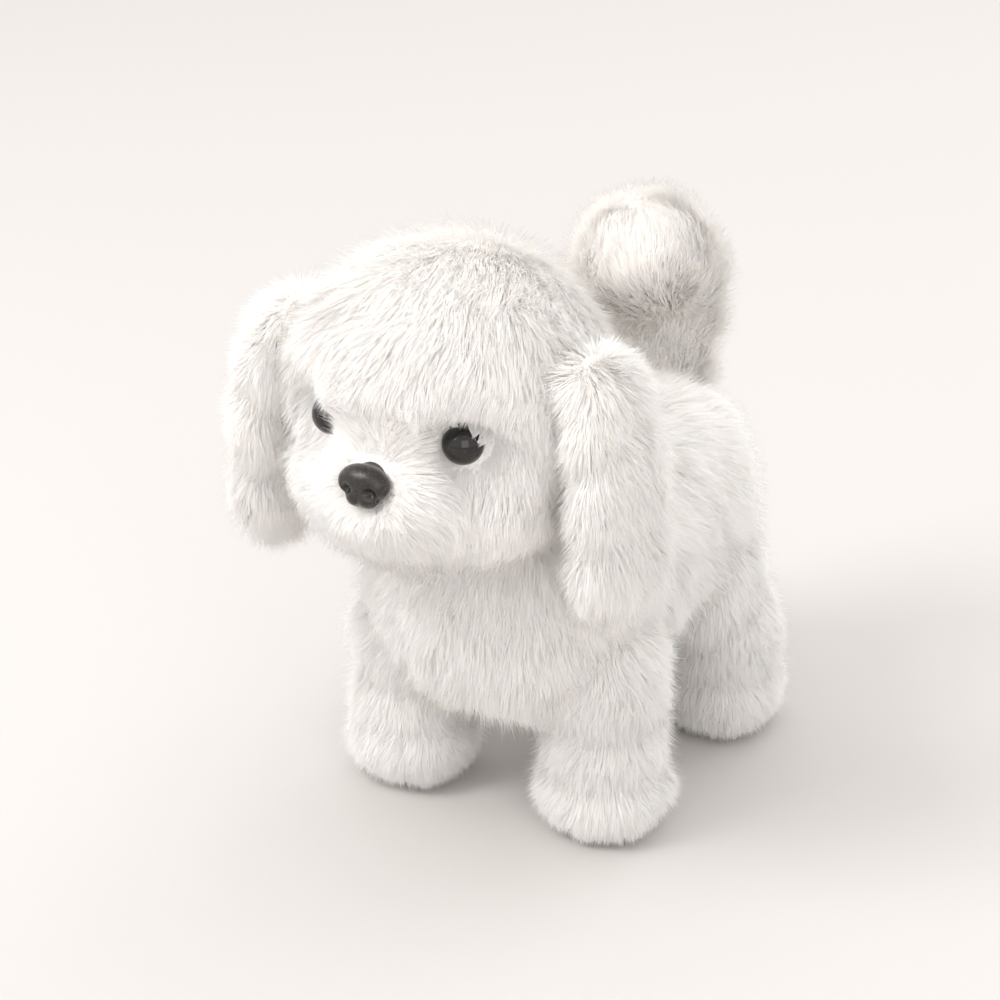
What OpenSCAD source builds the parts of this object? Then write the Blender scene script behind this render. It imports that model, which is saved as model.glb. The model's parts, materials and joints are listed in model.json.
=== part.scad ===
// Walking electronic plush puppy: plastic gearbox chassis, four driven legs, nodding head, sprung tail
// and plush skins. Millimetres. +Z up, the puppy faces -Y and its left side is +X. The origin is on the
// floor under the middle of the toy. Inside the modules, Y is measured from the front hip axle.

/* [Stance] */
// Distance between the left and right foot centres
track = 60; // [59.8:0.1:60.4]
// Distance between the front and rear hip axles
wheelbase = 68; // [67.5:0.5:68.5]
// Distance of the front hip axle ahead of the origin
front_reach = 15.3; // [15:0.1:16]
// Height of the hip axles above the floor
hip_z = 58; // [57.9:0.1:58.1]

/* [Casing] */
// Half of the chassis width across its side walls
chassis_half = 20; // [19.9:0.05:20.05]
// Wall thickness of the chassis shells
wall = 1.6; // [1.4:0.1:1.7]
// Half of the belly housing width
belly_half = 16.4; // [16.2:0.1:16.5]
// Height of the belly plate above the floor
belly_z = 36; // [35.8:0.1:36.1]

/* [Drive] */
// Gear module
gear_module = 0.6; // [0.59:0.01:0.6]
// Play between gear teeth at the pitch circle
backlash = 0.14; // [0.1:0.01:0.2]
// Throw of the crank pins
crank_throw = 3.3; // [2.6:0.1:3.4]
// Radius of the crank pins
crank_pin_r = 1.3; // [1.1:0.1:1.3]
// Eccentricity of the nodding cam
cam_throw = 1.5; // [1:0.1:1.8]

/* [Head] */
// Height of the middle of the head
head_z = 129; // [128.5:0.5:129.5]
// Radius of the plush head over its pile
head_r = 42.5; // [41.5:0.5:42.5]
// Radius of the plastic head core
core_r = 28; // [27.5:0.1:28.2]
// Diameter of an eye bead
eye_d = 10.4; // [9.4:0.2:10.8]
// Sideways angle of the eyes from straight ahead, in degrees
eye_angle = 35; // [33:0.5:37]
// Length of an ear below its root
ear_length = 70; // [66:1:72]
// Thickness of an ear over its pile
ear_t = 12; // [10:0.5:12]
// Outward lean of a hanging ear, in degrees
ear_lean = 3.5; // [2:0.5:5]

/* [Body and tail] */
// Half of the plush body width
body_half = 38; // [37:0.5:40]
// Radius of the rounded flanks of the plush body
flank_r = 26; // [24:0.5:27]
// Largest radius of a plush paw
paw_r = 15.4; // [14.8:0.1:15.4]
// Radius of the fluffy part of the tail
tail_r = 18; // [16:0.5:18]

/* [Batteries] */
// Diameter of a cell
cell_d = 14.2; // [14:0.1:14.4]
// Length of a cell over its cap
cell_l = 50; // [49.6:0.1:50]

/* [Hidden] */
$fn = 64;

// Shafts and running clearance
rod_r = 1.5;
gear_axle_r = 1;
run = 0.06;
thread_r = 1.3;
screw_head_r = 2.2;

// Casing outline, seen from the side
case_front = -17;
case_rear = 77;
case_top = 90;
case_bottom = 52.4;
case_round = 10;
inner_half = chassis_half - wall;
seam = 0.05;
deck_z = 54;
deck_top = 55.6;

// Drive train along Y at the crank height
crank_z = hip_z + 16;
pinion_teeth = 10;
wheel_teeth = 40;
crank_teeth = 44;
gear_two_y = gear_module * (pinion_teeth + crank_teeth) / 2;
gear_one_y = gear_two_y + gear_module * (pinion_teeth + wheel_teeth) / 2;
motor_y = gear_one_y + gear_module * (pinion_teeth + wheel_teeth) / 2;
addendum = 0.62 * gear_module;
dedendum = 1.05 * gear_module;
plate_x = 3.5;
plate_t = 1.5;
plate_posts = [[-13.2, 60], [-13.8, 82.2], [54, 63], [54, 84.5]];
case_posts = [[8.1, 58.8], [23.7, 87.2], [61, 61], [61, 85.7]];
post_r = 2.4;
case_screw_x = 8;

// Motor
motor_r = 8;
motor_rear = -15.5;
shaft_r = 1;

// Legs, from the shell wall outwards
disc_x = chassis_half + 0.4;
disc_t = 1.6;
leg_x = chassis_half + 2.8;
leg_t = 2.8;
link_x = leg_x + leg_t + 0.4;
link_t = 1.6;
link_rise = 8;
link_pin_r = 1.4;
foot_x = track / 2;
column_r = 8.2;
column_top = 45;
foot_r = 11;
foot_top = 8;
sole_t = 2.5;
tread_w = 1;
tread_d = 0.8;
paw_top = 43;
cap_x = leg_x + leg_t + 0.3;
cap_t = 2.3;

// Head and neck
head_y = -29;
core_y = -27;
core_z = head_z - 3;
core_wall = 2;
nod_y = -17;
nod_z = 101;
post_half = 3.2;
yoke_x = 4.5;
yoke_t = 3;
lever_x0 = 9.5;
lever_x1 = 12.8;
snout_y = -63.7;
snout_z = 116.6;
snout_r = 9;
muzzle_r = 20.5;
nose_y = -70.2;
nose_z = 118.6;
nose_back = -66.5;
eye_reach = 32.6;
eye_lift = 2.4;
ear_x = 41.6;
ear_y = -31;
ear_z = 150;

// Plush body, seen from the side
body_front = -24;
body_rear = 88;
body_bottom = 33;
body_top = 101;
muzzle_y = -53;
muzzle_z = 112.5;

// Tail, with the line of its plush from the root to the curled tip
tail_z = 80;
tail_y = 71.5;
tail_line = [[0, 90, 114], [0, 88, 126], [0, 84, 136], [0, 76, 142], [0, 60, 146]];
tail_root_r = 15;
tail_tip_r = 14;
tail_gap = 4.4;
spring_y = 74.07;
spring_r = 2.3;
spring_wire = 0.3;

// Belly housing rooms
belly_front = -13;
belly_rear = 84;
bay_front = 5;
bay_rear = 60.6;
bay_half = belly_half - 1.5;
cell_z = belly_z + 9.4;
cell_x = 7.3;
plate_gap = 0.3;
door_half = 14.3;
door_front = 7.3;
door_rear = 58.3;
speaker_y = 72.3;
speaker_r = 9.8;
switch_y = -7;
door_boss_y = 0.6;

// Board
board_x = -16.4;
board_t = 1.6;
wire_r = 0.8;

// ---------- helpers ----------
module place() translate([0, -front_reach, 0]) children();
module block(lo, hi) translate(lo) cube(hi - lo);
module at(y, z) translate([0, y, z]) children();
module along_x(r, x0, x1) translate([x0, 0, 0]) rotate([0, 90, 0]) cylinder(r = r, h = x1 - x0);
module along_y(r, y0, y1) translate([0, y0, 0]) rotate([-90, 0, 0]) cylinder(r = r, h = y1 - y0);
module along_z(r, z0, z1) translate([0, 0, z0]) cylinder(r = r, h = z1 - z0);
// Extrudes a side view: its first axis runs along Y and its second along Z
module slab_x(x0, x1) translate([x0, 0, 0]) rotate([90, 0, 90]) linear_extrude(x1 - x0) children();
module handed(side) {
    if (side > 0) children();
    else mirror([1, 0, 0]) children();
}

// A rectangle from lo to hi with round corners, grown by g on every side
module soft_rect(lo, hi, r, g = 0) {
    a = lo - [g, g];
    b = hi + [g, g];
    c = r + g;
    translate([a.x + c, a.y]) square([b.x - a.x - 2 * c, b.y - a.y]);
    translate([a.x, a.y + c]) square([b.x - a.x, b.y - a.y - 2 * c]);
    for (x = [a.x + c, b.x - c], y = [a.y + c, b.y - c]) translate([x, y]) circle(r = c);
}

// A flat bar from a to b with round ends of width w
module bar(a, b, w) {
    d = b - a;
    translate(a) circle(r = w / 2);
    translate(b) circle(r = w / 2);
    translate(a) rotate(atan2(d.y, d.x)) translate([0, -w / 2]) square([norm(d), w]);
}

// A round rod from a to b with slightly fuller ball ends
module rod(a, b, r) {
    d = b - a;
    translate(a) sphere(r = 1.03 * r);
    translate(b) sphere(r = 1.03 * r);
    translate(a) rotate([0, acos(d.z / norm(d)), atan2(d.y, d.x)]) cylinder(r = r, h = norm(d));
}

module ring(r, wire) rotate_extrude() translate([r, 0]) circle(r = wire, $fn = 24);

// Self-tapping screw along +X: the head's face is at 0 and the shank runs on to l
module screw(l) {
    difference() {
        along_x(screw_head_r, -1.6, 0);
        for (a = [0, 90]) rotate([a, 0, 0]) block([-1.7, -1.4, -0.35], [-0.8, 1.4, 0.35]);
    }
    along_x(thread_r, 0, l);
}

// ---------- gears ----------
function involute(rb, t) = rb * [cos(t) + t * PI / 180 * sin(t), sin(t) - t * PI / 180 * cos(t)];
function roll_to(rb, r) = r <= rb ? 0 : sqrt(pow(r / rb, 2) - 1) * 180 / PI;
function turned(p, a) = [p.x * cos(a) - p.y * sin(a), p.x * sin(a) + p.y * cos(a)];

// One flank from the root to the tip, turned so that it crosses the pitch circle at half the tooth's width
function flank(teeth) = let (
    rp = gear_module * teeth / 2,
    rb = rp * cos(20),
    tip = rp + addendum,
    root = rp - dedendum,
    crossing = involute(rb, roll_to(rb, rp)),
    half_tooth = 90 / teeth - backlash / 2 / rp * 180 / PI,
    turn = -atan2(crossing.y, crossing.x) - half_tooth,
    start = max(rb, root),
    steps = 4
) concat([turned([root, 0], turn)],
    [for (i = [0:steps]) turned(involute(rb, roll_to(rb, start + (tip - start) * i / steps)), turn)]);

// A spur gear between x0 and x1 with a tooth towards +Y, or a gap there when gap is true
module spur(teeth, x0, x1, gap = false) {
    side = flank(teeth);
    tooth = concat(side, [for (i = [len(side) - 1:-1:0]) [side[i].x, -side[i].y]]);
    slab_x(x0, x1) rotate(gap ? 180 / teeth : 0)
        polygon([for (k = [0:teeth - 1]) for (p = tooth) turned(p, k * 360 / teeth)]);
}

// ---------- chassis ----------
module casing_profile(g = 0)
    soft_rect([case_front, case_bottom - 20], [case_rear, case_top], case_round, g);

// Everything both half shells have in common, drawn on the +X side
module shell_common() {
    difference() {
        union() {
            intersection() {
                difference() {
                    slab_x(seam, chassis_half) casing_profile();
                    slab_x(-1, inner_half) casing_profile(-wall);
                }
                block([-1, -60, case_bottom], [40, 100, 120]);
            }
            // Ledge that the deck of the belly housing stands on
            block([belly_half + 0.2, case_front + 1, case_bottom],
                [inner_half + 0.2, case_rear - 1, deck_z]);
            for (y = [0, wheelbase]) at(y, hip_z) along_x(3.6, inner_half - 2, inner_half + 0.2);
            at(0, crank_z) along_x(3.2, inner_half - 1, inner_half + 0.2);
            block([seam, 65.2, 74], [inner_half + 0.2, 67.2, case_top - 1]);
        }
        for (y = [0, wheelbase]) at(y, hip_z) along_x(rod_r, 5, 30);
        at(0, crank_z) along_x(rod_r + run, 5, 30);
        // Openings for the neck post and the tail lever, and the bore of the tail pin
        block([-1, case_front - 8, 78], [plate_x + 0.2, -1, case_top + 10]);
        block([-1, 67.6, 83], [6.5, case_rear + 3, case_top + 5]);
        at(0, tail_z) along_y(rod_r, 60, 90);
        // Notch over the speaker room
        block([-1, case_rear - 4, case_bottom - 1], [belly_half + 0.2, case_rear + 1, deck_top + 0.2]);
    }
}

module chassis_left_shell() color("gainsboro") place() {
    difference() {
        union() {
            shell_common();
            for (p = case_posts) at(p.x, p.y) along_x(post_r, seam, inner_half + 0.2);
            for (p = plate_posts) at(p.x, p.y) along_x(2, plate_x + plate_t, inner_half + 0.2);
            for (y = [gear_one_y, gear_two_y])
                at(y, crank_z) along_x(2.2, inner_half - 0.9, inner_half + 0.2);
        }
        for (p = case_posts) at(p.x, p.y) along_x(thread_r, -1, case_screw_x);
        for (p = plate_posts) at(p.x, p.y) along_x(thread_r, 0, 13);
        for (y = [gear_one_y, gear_two_y]) at(y, crank_z) along_x(gear_axle_r, 0, inner_half);
    }
}

module chassis_right_shell() color("gainsboro") place() mirror([1, 0, 0]) {
    difference() {
        union() {
            shell_common();
            for (p = case_posts) at(p.x, p.y) along_x(3, seam, inner_half + 0.2);
            // Standoffs of the circuit board
            for (y = [15, 31], z = [63, 80]) at(y, z) along_x(1.8, -board_x, inner_half + 0.2);
        }
        // Deep screw holes from the outside
        for (p = case_posts) at(p.x, p.y) along_x(thread_r + 0.1, -1, 30);
        for (p = case_posts) at(p.x, p.y) along_x(screw_head_r + 0.1, case_screw_x, 30);
        // Opening for the nod lever
        block([lever_x0 - 1, case_front - 3, 76], [lever_x1 + 0.9, 1, case_top + 5]);
    }
}

module case_screws() color("silver") place() {
    for (p = case_posts) at(p.x, p.y) translate([-case_screw_x, 0, 0]) screw(case_screw_x + 7);
    for (p = plate_posts) at(p.x, p.y) translate([plate_x, 0, 0]) screw(8);
}

module gearbox_plate() color("whitesmoke") place() {
    difference() {
        slab_x(plate_x, plate_x + plate_t) intersection() {
            casing_profile(-wall - 0.2);
            translate([case_front, 57.2]) square([74, 40]);
        }
        for (p = case_posts) at(p.x, p.y) along_x(3.2, 0, 10);
        for (p = plate_posts) at(p.x, p.y) along_x(thread_r, 0, 10);
        for (y = [gear_one_y, gear_two_y]) at(y, crank_z) along_x(gear_axle_r, 0, 10);
        at(0, crank_z) along_x(rod_r + run, 0, 10);
        at(0, hip_z) along_x(rod_r + 0.5, 0, 10);
        at(motor_y, crank_z) along_x(2.7, 0, 10);
    }
}

module gear_axles() color("silver") place()
    for (y = [gear_one_y, gear_two_y]) at(y, crank_z) along_x(gear_axle_r, plate_x, inner_half - 0.1);

module motor() color("silver") place() at(motor_y, crank_z) {
    difference() {
        union() {
            along_x(motor_r, motor_rear, plate_x);
            along_x(2.6, plate_x - 0.1, plate_x + plate_t);
            along_x(3, motor_rear - 0.8, motor_rear + 0.1);
            for (z = [-5.2, 5.2]) block([motor_rear - 1, -0.8, z - 0.2], [motor_rear + 0.1, 0.8, z + 0.2]);
        }
        along_x(shaft_r + run, -4, 10);
        for (a = [45, 225]) rotate([a, 0, 0]) at(0, 5) along_x(0.8, plate_x - 1, plate_x + 1);
    }
}

module motor_strap() color("whitesmoke") place() {
    difference() {
        union() {
            at(motor_y, crank_z) along_x(motor_r + 1.4, -9, -5);
            block([-9, motor_y - 3, deck_top], [-5, motor_y + 3, crank_z - 5]);
        }
        at(motor_y, crank_z) along_x(motor_r, -20, 0);
    }
}

module hip_axles() color("silver") place()
    for (y = [0, wheelbase]) at(y, hip_z) along_x(rod_r, -cap_x - 1.5, cap_x + 1.5);

module axle_caps() color("white") place() {
    for (s = [-1, 1], y = [0, wheelbase]) handed(s) at(y, hip_z) difference() {
        along_x(3.4, cap_x, cap_x + cap_t);
        along_x(rod_r, cap_x - 1, cap_x + 1.5);
    }
}

// ---------- belly housing ----------
module belly_housing() color("whitesmoke") place() {
    difference() {
        union() {
            block([-belly_half, belly_front, belly_z], [belly_half, belly_rear, deck_top]);
            block([-inner_half, case_front + wall, deck_z], [inner_half, case_rear - wall, deck_top]);
        }
        // Room for the axle bosses of the shells
        for (s = [-1, 1], y = [0, wheelbase]) handed(s) at(y, hip_z) along_x(3.8, inner_half - 2.2, 30);
        // Front room, battery bay and speaker room
        for (r = [[belly_front + 1.5, bay_front - 1.6], [bay_front, bay_rear],
                  [bay_rear + 1.5, belly_rear - 1.5]])
            block([-bay_half, r.x, belly_z + 2], [bay_half, r.y, deck_z]);
        // Mouth of the bay, with the recess of the door's tab
        block([-door_half - plate_gap, door_front - plate_gap, belly_z - 1],
            [door_half + plate_gap, door_rear + plate_gap, belly_z + 3]);
        block([-5.3, -2.9, belly_z - 1], [5.3, 8, belly_z + 2]);
        // Slot of the switch
        block([-4.7, switch_y - 1.7, belly_z - 1], [4.7, switch_y + 1.7, belly_z + 3]);
        // Sound holes
        translate([0, speaker_y, 0]) along_z(1, belly_z - 1, belly_z + 3);
        for (r = [3.2, 6.4], a = [0:60:300]) translate([r * cos(a), speaker_y + r * sin(a), 0])
            along_z(1, belly_z - 1, belly_z + 3);
        // Wire holes in the deck
        for (p = [[-13, -5], [-9, 63.9], [-13.5, 65.2]]) translate([p.x, p.y, 0]) along_z(1.3, 50, 60);
    }
    // Boss for the door screw
    difference() {
        translate([0, door_boss_y, 0]) along_z(3.1, belly_z + 2, deck_z + 0.5);
        translate([0, door_boss_y, 0]) along_z(thread_r, belly_z, belly_z + 10);
    }
}

module battery_door() color("whitesmoke") place() {
    difference() {
        union() {
            block([-door_half, door_front, belly_z], [door_half, door_rear, belly_z + 1.6]);
            block([-5, -2.6, belly_z], [5, door_front + 1, belly_z + 1.6]);
        }
        translate([0, door_boss_y, 0]) along_z(thread_r, belly_z - 1, belly_z + 3);
        translate([0, door_boss_y, 0]) along_z(screw_head_r + 0.2, belly_z - 1, belly_z + 0.9);
        // Finger grip
        for (y = [12:3:21]) block([-6, y, belly_z - 1], [6, y + 1, belly_z + 0.6]);
    }
}

module door_screw() color("silver") place()
    translate([0, door_boss_y, belly_z + 0.9]) difference() {
        union() {
            along_z(screw_head_r, -0.9, 0);
            along_z(thread_r - 0.1, -0.1, 7);
        }
        for (a = [0, 90]) rotate(a) block([-1.4, -0.35, -1], [1.4, 0.35, -0.4]);
    }

module cell() {
    along_y(cell_d / 2, 0, cell_l - 1.4);
    along_y(2.7, cell_l - 1.5, cell_l);
}

module batteries() color("darkorange") place() {
    translate([cell_x, bay_front + 3.6, cell_z]) cell();
    translate([-cell_x, bay_rear - 3.6, cell_z]) mirror([0, 1, 0]) cell();
}

// A coil contact that stands on its plate at 0 and reaches 2.9 towards +Y
module coil_contact() {
    for (i = [0:3]) translate([0, 0.45 + 0.68 * i, 0]) rotate([90, 0, 0]) ring(2.9 - 0.2 * i, 0.36);
}

module battery_contacts() color("gold") place() {
    for (s = [-1, 1]) handed(s)
        translate([cell_x, bay_front, cell_z]) block([-5, 0.1, -5], [5, 0.5, 5]);
    translate([0, bay_rear, cell_z]) block([-13, -0.5, -5], [13, -0.1, 5]);
    translate([cell_x, bay_front + 0.4, cell_z]) coil_contact();
    translate([-cell_x, bay_rear - 0.4, cell_z]) mirror([0, 1, 0]) coil_contact();
    translate([-cell_x, bay_front, cell_z]) along_y(3, 0.4, 2);
    translate([cell_x, bay_rear, cell_z]) along_y(3, -2, -0.4);
}

module speaker() color("dimgray") place() translate([0, speaker_y, belly_z + 2]) {
    difference() {
        along_z(speaker_r, 0.1, 1.8);
        along_z(speaker_r - 1.3, -1, 0.9);
    }
    along_z(7.4, 1.7, 3.4);
    along_z(5.2, 3.3, 6.4);
}

module slide_switch() color("dimgray") place() translate([0, switch_y, belly_z + 2]) {
    difference() {
        block([-6.5, -3.4, 0.1], [6.5, 3.2, 5]);
        block([-4.6, -0.7, -1], [4.6, 0.7, 2]);
    }
    for (x = [-4, 0, 4]) block([x - 0.4, -0.3, 4.9], [x + 0.4, 0.3, 7]);
}

module switch_knob() color("black") place() translate([-2, switch_y, 0]) {
    difference() {
        block([-2.2, -1.3, belly_z - 1.2], [2.2, 1.3, belly_z + 1.9]);
        for (x = [-1.2, 0, 1.2]) block([x - 0.2, -2, belly_z - 2], [x + 0.2, 2, belly_z - 0.9]);
    }
    block([-1, -0.5, belly_z + 1.8], [1, 0.5, belly_z + 3.6]);
}

module circuit_board() color("seagreen") place() {
    difference() {
        block([board_x, 12, 60], [board_x + board_t, 34, 83]);
        for (y = [15, 31], z = [63, 80]) at(y, z) along_x(0.9, -20, -10);
    }
    block([board_x + board_t - 0.1, 18, 68], [board_x + board_t + 1.2, 27, 77]);
    at(22, 64) along_x(2.4, board_x + board_t - 0.1, board_x + board_t + 1);
    for (z = [67, 71, 75])
        block([board_x + board_t - 0.1, 29.4, z], [board_x + board_t + 0.8, 31.4, z + 1.2]);
    at(15.6, 73) along_x(2.1, board_x + board_t - 0.1, board_x + board_t + 4);
}

module wire(points) {
    for (p = points) translate(p) sphere(r = wire_r, $fn = 12);
    for (i = [1:len(points) - 1]) {
        d = points[i] - points[i - 1];
        translate(points[i - 1]) rotate([0, acos(d.z / norm(d)), atan2(d.y, d.x)])
            cylinder(r = wire_r, h = norm(d), $fn = 12);
    }
}

module wiring() color("crimson") place() {
    // Switch to board
    wire([[-4, -6.8, 46.6], [-13, -5, 49], [-13, -5, 61.8], [-15.6, -3, 63.2], [-15.6, 11, 64]]);
    // Batteries to board
    wire([[-9, 63.9, 49], [-9, 63.9, 56.7], [-12.8, 58, 56.7], [-12.8, 24, 56.7], [-15.6, 21, 57.8],
        [-15.6, 21, 59]]);
    // Speaker to board
    wire([[-6.5, 72, 45.4], [-13.5, 65.2, 50], [-13.5, 65.2, 56.7], [-15.6, 60, 56.7], [-15.6, 31, 56.7],
        [-15.6, 31, 59]]);
    // Motor to board
    wire([[-16.9, 45.8, 67.8], [-16.9, 40, 67], [-15.6, 35.2, 67]]);
}

// ---------- neck and tail supports ----------
module neck_post() color("whitesmoke") place() {
    difference() {
        union() {
            slab_x(-post_half, post_half) bar([nod_y, nod_z], [-6.5, 85], 8);
            block([-post_half, -11, 78.2], [plate_x, -1.2, 86]);
        }
        at(nod_y, nod_z) along_x(rod_r, -10, 10);
    }
}

module neck_pin() color("silver") place()
    at(nod_y, nod_z) along_x(rod_r, -yoke_x - yoke_t - 0.4, yoke_x + yoke_t + 0.4);

module tail_pin() color("silver") place() at(0, tail_z) along_y(rod_r, 65.4, case_rear + 0.2);

module tail_spring() color("silver") place() {
    for (i = [0:1])
        translate([0, spring_y + 0.5 * i, tail_z]) rotate([90, 0, 0]) ring(spring_r, spring_wire);
    at(spring_y + 0.23, tail_z) along_x(0.9 * spring_wire, -7.5, 0.1 - spring_r);
}

// ---------- drive train ----------
module crank_axle() color("silver") place()
    at(0, crank_z) along_x(rod_r, -disc_x - disc_t, disc_x + disc_t);

module crank_disc(angle) at(0, crank_z) difference() {
    union() {
        along_x(crank_throw + 2.2, disc_x, disc_x + disc_t);
        rotate([angle, 0, 0]) at(0, crank_throw) along_x(crank_pin_r, disc_x, disc_x + disc_t + 0.4);
    }
    along_x(rod_r, disc_x - 1, disc_x + disc_t + 0.01);
}

module crank_left() color("white") place() crank_disc(0);
module crank_right() color("white") place() mirror([1, 0, 0]) crank_disc(180);

module crank_gear() color("ivory") place() at(0, crank_z) difference() {
    union() {
        spur(crank_teeth, 12.4, 14.8);
        along_x(3.3, 11.8, 16.6);
    }
    along_x(rod_r, 0, 30);
    for (a = [30:60:330]) rotate([a, 0, 0]) at(0, 7.8) along_x(2.2, 10, 20);
}

module nod_cam() color("ivory") place() at(0, crank_z) difference() {
    union() {
        rotate([-20, 0, 0]) at(0, cam_throw) along_x(5, -lever_x1, -lever_x0);
        along_x(3.3, -lever_x0 - 0.1, -lever_x0 + 2);
    }
    along_x(rod_r, -20, 0);
}

// A 40-tooth wheel with a 10-tooth pinion beside it, on hubs that keep it between plate and wall
module compound_gear(wheel_x, wheel_t, pinion_x, pinion_end) difference() {
    union() {
        spur(wheel_teeth, wheel_x, wheel_x + wheel_t);
        spur(pinion_teeth, pinion_x, pinion_end, true);
        along_x(2.2, plate_x + plate_t + 0.2, wheel_x + 0.1);
        along_x(2.2, pinion_end - 0.1, inner_half - 1.1);
    }
    along_x(gear_axle_r + run, 0, 30);
    for (a = [0:60:300]) rotate([a, 0, 0]) at(0, 7.6) along_x(2, wheel_x - 1, wheel_x + wheel_t + 0.01);
}

module gear_two() color("ivory") place() at(gear_two_y, crank_z) compound_gear(9, 2.4, 11.3, 15.2);
module gear_one() color("ivory") place() at(gear_one_y, crank_z) compound_gear(5.9, 2.4, 8.2, 12);

module motor_pinion() color("goldenrod") place() at(motor_y, crank_z) {
    spur(pinion_teeth, 5.6, 8.9, true);
    along_x(shaft_r, -3.5, 9.4);
}

// ---------- legs ----------
// One leg on the +X side at hip position y; a front leg has the arm that the crank pin works
module leg(y, front) translate([0, y, 0]) difference() {
    union() {
        at(0, hip_z) along_x(4.2, chassis_half + 0.3, leg_x + leg_t);
        slab_x(leg_x, leg_x + leg_t) {
            bar([0, hip_z], [0, column_top - 2], 11);
            bar([0, hip_z], [0, front ? crank_z + 5.5 : hip_z + link_rise], 8.4);
        }
        at(0, hip_z + link_rise) along_x(link_pin_r, leg_x + leg_t - 0.5, link_x + link_t + 0.6);
        translate([foot_x, 0, 0]) along_z(column_r, foot_top - 1, column_top);
        translate([foot_x, 0, 0]) along_z(foot_r, sole_t, foot_top);
    }
    at(0, hip_z) along_x(rod_r + run, 0, 40);
    // Groove for the crank pin, in the inner face
    if (front) block([leg_x - 1, -crank_pin_r - 0.1, crank_z - crank_throw - crank_pin_r - 0.2],
        [leg_x + 1.6, crank_pin_r + 0.1, crank_z + crank_throw + crank_pin_r + 0.2]);
}

module sole(y) translate([foot_x, y, 0]) difference() {
    along_z(foot_r, 0, sole_t);
    for (s = [-1, 1], v = [3.2:2.4:8])
        block([-20, s * v - tread_w / 2, -1], [20, s * v + tread_w / 2, tread_d]);
}

module paw(y) translate([foot_x, y, 0]) rotate_extrude()
    polygon([[foot_r, 2.8], [paw_r - 1.4, 2.8], [paw_r, 8], [paw_r, 18], [12.2, 31], [12.2, 41],
        [10.6, paw_top], [column_r, paw_top], [column_r, foot_top], [foot_r, foot_top]]);

module front_left_leg() color("white") place() leg(0, true);
module front_right_leg() color("white") place() mirror([1, 0, 0]) leg(0, true);
module rear_left_leg() color("white") place() leg(wheelbase, false);
module rear_right_leg() color("white") place() mirror([1, 0, 0]) leg(wheelbase, false);
module front_left_sole() color("dimgray") place() sole(0);
module front_right_sole() color("dimgray") place() mirror([1, 0, 0]) sole(0);
module rear_left_sole() color("dimgray") place() sole(wheelbase);
module rear_right_sole() color("dimgray") place() mirror([1, 0, 0]) sole(wheelbase);
module front_left_paw() color("snow") place() paw(0);
module front_right_paw() color("snow") place() mirror([1, 0, 0]) paw(0);
module rear_left_paw() color("snow") place() paw(wheelbase);
module rear_right_paw() color("snow") place() mirror([1, 0, 0]) paw(wheelbase);

// The rear hole has extra play: the rear leg's pin moves in it without touching
module side_link() difference() {
    slab_x(link_x, link_x + link_t) bar([0, hip_z + link_rise], [wheelbase, hip_z + link_rise], 6.4);
    at(0, hip_z + link_rise) along_x(link_pin_r + run, 20, 40);
    at(wheelbase, hip_z + link_rise) along_x(link_pin_r + 0.4, 20, 40);
}

module left_link() color("ivory") place() side_link();
module right_link() color("ivory") place() mirror([1, 0, 0]) side_link();

// ---------- head ----------
module towards_eye(side)
    translate([0, core_y, core_z]) rotate([0, 0, side * eye_angle]) rotate([-eye_lift, 0, 0])
    rotate([90, 0, 0]) children();

module core_shell() difference() {
    union() {
        translate([0, core_y, core_z]) sphere(r = core_r);
        at(0, snout_z) along_y(snout_r, snout_y, core_y - 20);
        for (s = [-1, 1]) handed(s)
            slab_x(yoke_x, yoke_x + yoke_t) bar([nod_y, nod_z], [nod_y - 2.5, nod_z + 9], 9);
    }
    difference() {
        union() {
            translate([0, core_y, core_z]) sphere(r = core_r - core_wall);
            at(0, snout_z) along_y(snout_r - core_wall, snout_y + core_wall, core_y - 15);
        }
        // The yoke cheeks and the two screw posts stay standing inside
        for (s = [-1, 1]) handed(s)
            slab_x(yoke_x, yoke_x + yoke_t) bar([nod_y, nod_z], [nod_y - 2.5, nod_z + 9], 9);
        for (x = [-15, 15]) translate([x, 0, core_z + 9]) along_y(3, core_y - 40, core_y + 30);
    }
    at(nod_y, nod_z) along_x(rod_r + run, -10, 10);
    // Opening for the neck post
    block([-4, -24.5, 88], [4, 0, 107]);
    for (s = [-1, 1]) towards_eye(s) along_z(1.6, 20, 40);
    at(0, nose_z) along_y(1.6, snout_y - 2, snout_y + 5);
    for (x = [-15, 15]) translate([x, 0, core_z + 9]) {
        along_y(thread_r, core_y - 9, core_y + 8);
        along_y(screw_head_r + 0.1, core_y + 8, core_y + 40);
    }
}

module head_core_front() color("white") place() difference() {
    core_shell();
    block([-60, core_y - seam, 60], [60, 60, 200]);
}

module head_core_rear() color("white") place() difference() {
    core_shell();
    block([-60, -120, 60], [60, core_y + seam, 200]);
}

module head_screws() color("silver") place()
    for (x = [-15, 15]) translate([x, core_y + 8, core_z + 9]) rotate([0, 0, -90]) screw(15);

module nod_lever() color("ivory") place() difference() {
    union() {
        slab_x(-lever_x1, -lever_x0) bar([nod_y, nod_z], [-4, 85], 5.5);
        at(nod_y, nod_z) along_x(3.6, -lever_x1, -yoke_x - yoke_t);
    }
    at(nod_y, nod_z) along_x(rod_r + run, -yoke_x - yoke_t - 0.5, 0);
    // Seat against the round of the core
    translate([0, core_y, core_z]) sphere(r = core_r + 0.1);
}

module eyes() color("black") place() {
    for (s = [-1, 1]) towards_eye(s) {
        difference() {
            translate([0, 0, eye_reach]) sphere(d = eye_d);
            along_z(10, 20, eye_reach - 2.6);
        }
        along_z(1.6, core_r - 3.6, eye_reach - 2.5);
    }
}

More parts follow.
